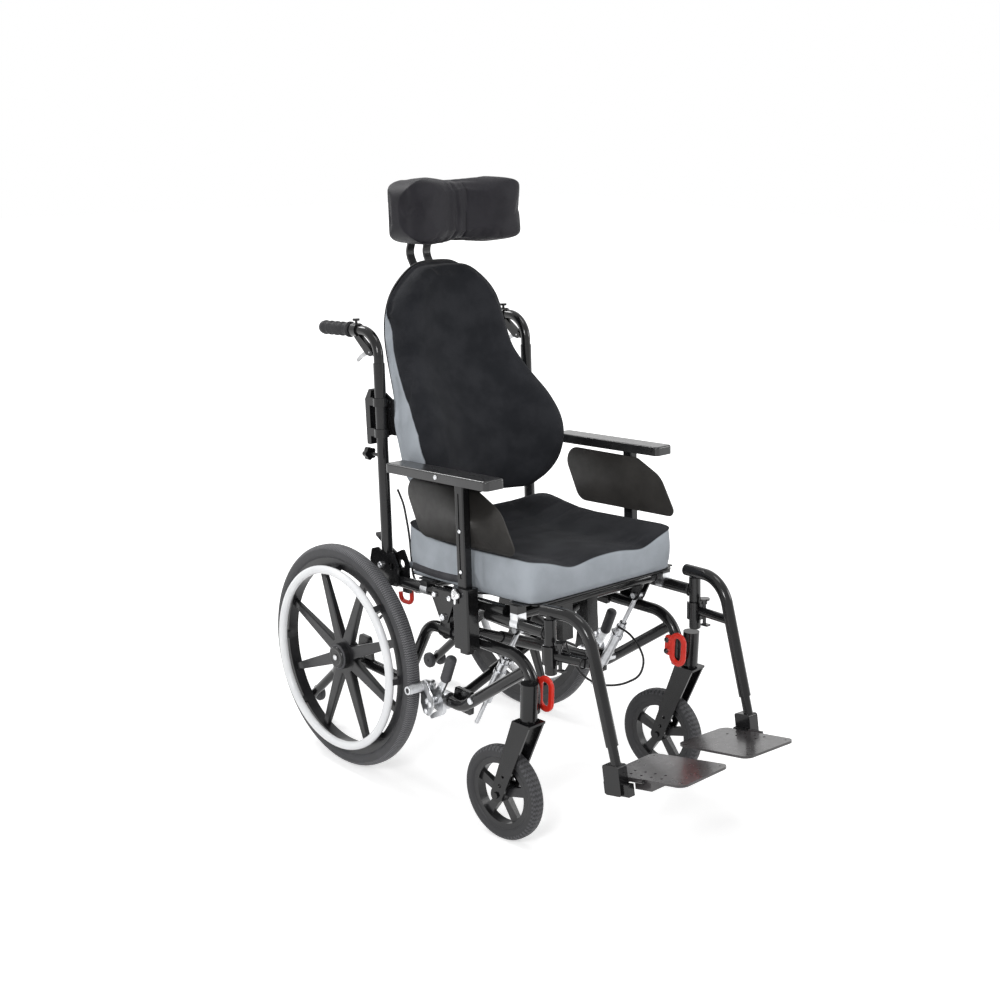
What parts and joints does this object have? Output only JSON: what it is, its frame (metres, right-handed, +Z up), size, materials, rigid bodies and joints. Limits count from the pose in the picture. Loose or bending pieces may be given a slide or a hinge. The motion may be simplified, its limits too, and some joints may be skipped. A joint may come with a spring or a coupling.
{
  "type": "tilt-in-space wheelchair",
  "caption": "Tilt-in-space manual wheelchair with a reclining back, curved head support, swing-away leg supports, small swivel casters and moulded rear wheels.",
  "frame": {"origin": "on the ground, under the middle of the whole chair's bounding box", "axes": "+Z up, the chair faces -Y, the user's left is +X"},
  "size_m": [0.6326, 1.1967, 1.3232],
  "materials": {
    "frame_black": "gloss",
    "hardware_zinc": "satin",
    "handrim_silver": "satin",
    "tyre_grey": "matte",
    "rim_black": "satin",
    "caster_rim_black": "gloss",
    "small_wheel": "matte",
    "seat_fabric": "matte",
    "back_fabric": "matte",
    "shell_black": "satin",
    "head_vinyl": "satin",
    "red_coat": "gloss",
    "lock_silver": "satin",
    "brake_black": "satin",
    "cable_black": "satin",
    "grip_black": "matte",
    "arm_foam": "matte",
    "guard_grey": "satin",
    "post_alu": "satin",
    "plate_dark": "satin",
    "tube_silver": "satin",
    "lever_chrome": "polished"
  },
  "bodies": {
    "base": {"side_frame_left": "frame_black", "side_frame_right": "frame_black", "cross_brace": "frame_black", "anti_tip_tubes": "frame_black", "tie_down_loops": "red_coat", "base_hardware": "hardware_zinc"},
    "seat": {"seat_frame": "frame_black", "seat_frame_plates": "frame_black", "seat_pan": "frame_black", "seat_hardware": "hardware_zinc", "seat_cushion": "seat_fabric", "tie_down_hooks": "red_coat", "release_cable": "cable_black"},
    "back": {"back_canes": "frame_black", "back_shell": "shell_black", "back_cushion": "back_fabric"},
    "head_support": {"headrest_bars": "frame_black"},
    "head_pad": {"headrest_pad": "head_vinyl"},
    "rear_wheel_left": {"rear_tyre_left": "tyre_grey", "rear_rim_left": "rim_black", "handrim_left": "handrim_silver"},
    "caster_fork_left": {"caster_fork_left": "frame_black"},
    "caster_wheel_left": {"caster_tyre_left": "tyre_grey", "caster_rim_left": "caster_rim_black"},
    "anti_tip_wheel_left": {"anti_tip_wheels_left": "small_wheel"},
    "wheel_lock_left": {"wheel_lock_left": "brake_black"},
    "tilt_lock_body_left": {"tilt_lock_body_left": "lock_silver"},
    "tilt_lock_rod_left": {"tilt_lock_rod_left": "lock_silver"},
    "handle_left": {"push_handle_left": "frame_black", "grip_left": "grip_black"},
    "trigger_left": {"trigger_left": "brake_black"},
    "arm_left": {"arm_post_left": "post_alu", "arm_pad_left": "arm_foam", "skirt_guard_left": "guard_grey"},
    "arm_lock_left": {"arm_lock_left": "lever_chrome"},
    "leg_left": {"hanger_left": "frame_black"},
    "release_plunger_left": {"release_plunger_left": "hardware_zinc"},
    "footrest_left": {"footrest_tube_left": "tube_silver"},
    "footplate_left": {"footplate_left": "plate_dark"},
    "rear_wheel_right": {"rear_tyre_right": "tyre_grey", "rear_rim_right": "rim_black", "handrim_right": "handrim_silver"},
    "caster_fork_right": {"caster_fork_right": "frame_black"},
    "caster_wheel_right": {"caster_tyre_right": "tyre_grey", "caster_rim_right": "caster_rim_black"},
    "anti_tip_wheel_right": {"anti_tip_wheels_right": "small_wheel"},
    "wheel_lock_right": {"wheel_lock_right": "brake_black"},
    "tilt_lock_body_right": {"tilt_lock_body_right": "lock_silver"},
    "tilt_lock_rod_right": {"tilt_lock_rod_right": "lock_silver"},
    "handle_right": {"push_handle_right": "frame_black", "grip_right": "grip_black"},
    "trigger_right": {"trigger_right": "brake_black"},
    "arm_right": {"arm_post_right": "post_alu", "arm_pad_right": "arm_foam", "skirt_guard_right": "guard_grey"},
    "arm_lock_right": {"arm_lock_right": "lever_chrome"},
    "leg_right": {"hanger_right": "frame_black"},
    "release_plunger_right": {"release_plunger_right": "hardware_zinc"},
    "footrest_right": {"footrest_tube_right": "tube_silver"},
    "footplate_right": {"footplate_right": "plate_dark"}
  },
  "joints": [
    {"name": "seat_tilt", "type": "hinge", "parent": "base", "child": "seat", "pos_m": [0, 0.03575, 0.421], "axis": [-1, 0, 0], "range_deg": [0, 40]},
    {"name": "back_recline", "type": "hinge", "parent": "seat", "child": "back", "pos_m": [0, 0.25123, 0.48491], "axis": [-1, 0, 0], "range_deg": [0, 30]},
    {"name": "head_support_height", "type": "slide", "parent": "back", "child": "head_support", "axis": [0, 0.0731, 0.9973], "range_m": [0, 0.06]},
    {"name": "head_pad_angle", "type": "hinge", "parent": "head_support", "child": "head_pad", "pos_m": [0, 0.34223, 1.23426], "axis": [1, 0, 0], "range_deg": [-15, 15]},
    {"name": "rear_wheel_left_roll", "type": "hinge", "parent": "base", "child": "rear_wheel_left", "pos_m": [0.2748, 0.33375, 0.257], "axis": [1, 0, 0], "continuous": true},
    {"name": "caster_left_swivel", "type": "hinge", "parent": "base", "child": "caster_fork_left", "pos_m": [0.2445, -0.24575, 0.3], "axis": [0, 0, 1], "continuous": true},
    {"name": "caster_left_roll", "type": "hinge", "parent": "caster_fork_left", "child": "caster_wheel_left", "pos_m": [0.23667, -0.18374, 0.1016], "axis": [0.9921, 0.1253, 0], "continuous": true},
    {"name": "anti_tip_left_roll", "type": "hinge", "parent": "base", "child": "anti_tip_wheel_left", "pos_m": [0.193, 0.57875, 0.062], "axis": [1, 0, 0], "continuous": true},
    {"name": "wheel_lock_left_lever", "type": "hinge", "parent": "base", "child": "wheel_lock_left", "pos_m": [0.244, 0.04975, 0.233], "axis": [1, 0, 0], "range_deg": [0, 40]},
    {"name": "tilt_lock_left_body_swing", "type": "hinge", "parent": "base", "child": "tilt_lock_body_left", "pos_m": [0.178, -0.05075, 0.2555], "axis": [-1, 0, 0], "range_deg": [0, 18.8]},
    {"name": "tilt_lock_left_rod_swing", "type": "hinge", "parent": "seat", "child": "tilt_lock_rod_left", "pos_m": [0.178, -0.14128, 0.43195], "axis": [-1, 0, 0], "range_deg": [-21.2, 0]},
    {"name": "push_handle_left_height", "type": "slide", "parent": "back", "child": "handle_left", "axis": [0, 0.0731, 0.9973], "range_m": [0, 0.1]},
    {"name": "tilt_trigger_left", "type": "hinge", "parent": "handle_left", "child": "trigger_left", "pos_m": [0.217, 0.31143, 0.95076], "axis": [1, 0, 0], "range_deg": [0, 18], "stiffness_Nm_per_rad": 1, "springref_deg": -11.46},
    {"name": "arm_left_height", "type": "slide", "parent": "seat", "child": "arm_left", "axis": [0, 0.0731, 0.9973], "range_m": [0, 0.075]},
    {"name": "arm_left_lock_lever", "type": "hinge", "parent": "seat", "child": "arm_lock_left", "pos_m": [0.269, -0.04256, 0.49841], "axis": [1, 0, 0], "range_deg": [0, 90]},
    {"name": "leg_support_left_swing", "type": "hinge", "parent": "seat", "child": "leg_left", "pos_m": [0.217, -0.27561, 0.42424], "axis": [0, 0.0731, 0.9973], "range_deg": [0, 90]},
    {"name": "leg_release_left", "type": "slide", "parent": "leg_left", "child": "release_plunger_left", "axis": [0, -0.0731, -0.9973], "range_m": [0, 0.008], "stiffness_N_per_m": 400, "springref_m": -0.004},
    {"name": "footrest_left_length", "type": "slide", "parent": "leg_left", "child": "footrest_left", "axis": [-0.0099, -0.3244, -0.9459], "range_m": [-0.02, 0.12]},
    {"name": "footplate_left_flip", "type": "hinge", "parent": "footrest_left", "child": "footplate_left", "pos_m": [0.18217, -0.47119, 0.21441], "axis": [0.041, 0.9787, -0.2011], "range_deg": [0, 88]},
    {"name": "rear_wheel_right_roll", "type": "hinge", "parent": "base", "child": "rear_wheel_right", "pos_m": [-0.2748, 0.33375, 0.257], "axis": [1, 0, 0], "continuous": true},
    {"name": "caster_right_swivel", "type": "hinge", "parent": "base", "child": "caster_fork_right", "pos_m": [-0.2445, -0.24575, 0.3], "axis": [0, 0, 1], "continuous": true},
    {"name": "caster_right_roll", "type": "hinge", "parent": "caster_fork_right", "child": "caster_wheel_right", "pos_m": [-0.24929, -0.18343, 0.1016], "axis": [0.9971, 0.0767, 0], "continuous": true},
    {"name": "anti_tip_right_roll", "type": "hinge", "parent": "base", "child": "anti_tip_wheel_right", "pos_m": [-0.193, 0.57875, 0.062], "axis": [1, 0, 0], "continuous": true},
    {"name": "wheel_lock_right_lever", "type": "hinge", "parent": "base", "child": "wheel_lock_right", "pos_m": [-0.244, 0.04975, 0.233], "axis": [1, 0, 0], "range_deg": [0, 40]},
    {"name": "tilt_lock_right_body_swing", "type": "hinge", "parent": "base", "child": "tilt_lock_body_right", "pos_m": [-0.178, -0.05075, 0.2555], "axis": [-1, 0, 0], "range_deg": [0, 18.8]},
    {"name": "tilt_lock_right_rod_swing", "type": "hinge", "parent": "seat", "child": "tilt_lock_rod_right", "pos_m": [-0.178, -0.14128, 0.43195], "axis": [-1, 0, 0], "range_deg": [-21.2, 0]},
    {"name": "push_handle_right_height", "type": "slide", "parent": "back", "child": "handle_right", "axis": [0, 0.0731, 0.9973], "range_m": [0, 0.1]},
    {"name": "tilt_trigger_right", "type": "hinge", "parent": "handle_right", "child": "trigger_right", "pos_m": [-0.217, 0.31143, 0.95076], "axis": [1, 0, 0], "range_deg": [0, 18], "stiffness_Nm_per_rad": 1, "springref_deg": -11.46},
    {"name": "arm_right_height", "type": "slide", "parent": "seat", "child": "arm_right", "axis": [0, 0.0731, 0.9973], "range_m": [0, 0.075]},
    {"name": "arm_right_lock_lever", "type": "hinge", "parent": "seat", "child": "arm_lock_right", "pos_m": [-0.269, -0.04256, 0.49841], "axis": [1, 0, 0], "range_deg": [0, 90]},
    {"name": "leg_support_right_swing", "type": "hinge", "parent": "seat", "child": "leg_right", "pos_m": [-0.217, -0.27561, 0.42424], "axis": [0, -0.0731, -0.9973], "range_deg": [0, 90]},
    {"name": "leg_release_right", "type": "slide", "parent": "leg_right", "child": "release_plunger_right", "axis": [0, -0.0731, -0.9973], "range_m": [0, 0.008], "stiffness_N_per_m": 400, "springref_m": -0.004},
    {"name": "footrest_right_length", "type": "slide", "parent": "leg_right", "child": "footrest_right", "axis": [0.0099, -0.3244, -0.9459], "range_m": [-0.02, 0.12]},
    {"name": "footplate_right_flip", "type": "hinge", "parent": "footrest_right", "child": "footplate_right", "pos_m": [-0.18217, -0.47119, 0.21441], "axis": [0.041, -0.9787, 0.2011], "range_deg": [0, 88]}
  ],
  "couplings": [
    {"joint": "tilt_lock_left_body_swing", "follows": "seat_tilt", "ratio": 0.47},
    {"joint": "tilt_lock_left_rod_swing", "follows": "seat_tilt", "ratio": -0.53},
    {"joint": "tilt_lock_right_body_swing", "follows": "seat_tilt", "ratio": 0.47},
    {"joint": "tilt_lock_right_rod_swing", "follows": "seat_tilt", "ratio": -0.53}
  ]
}
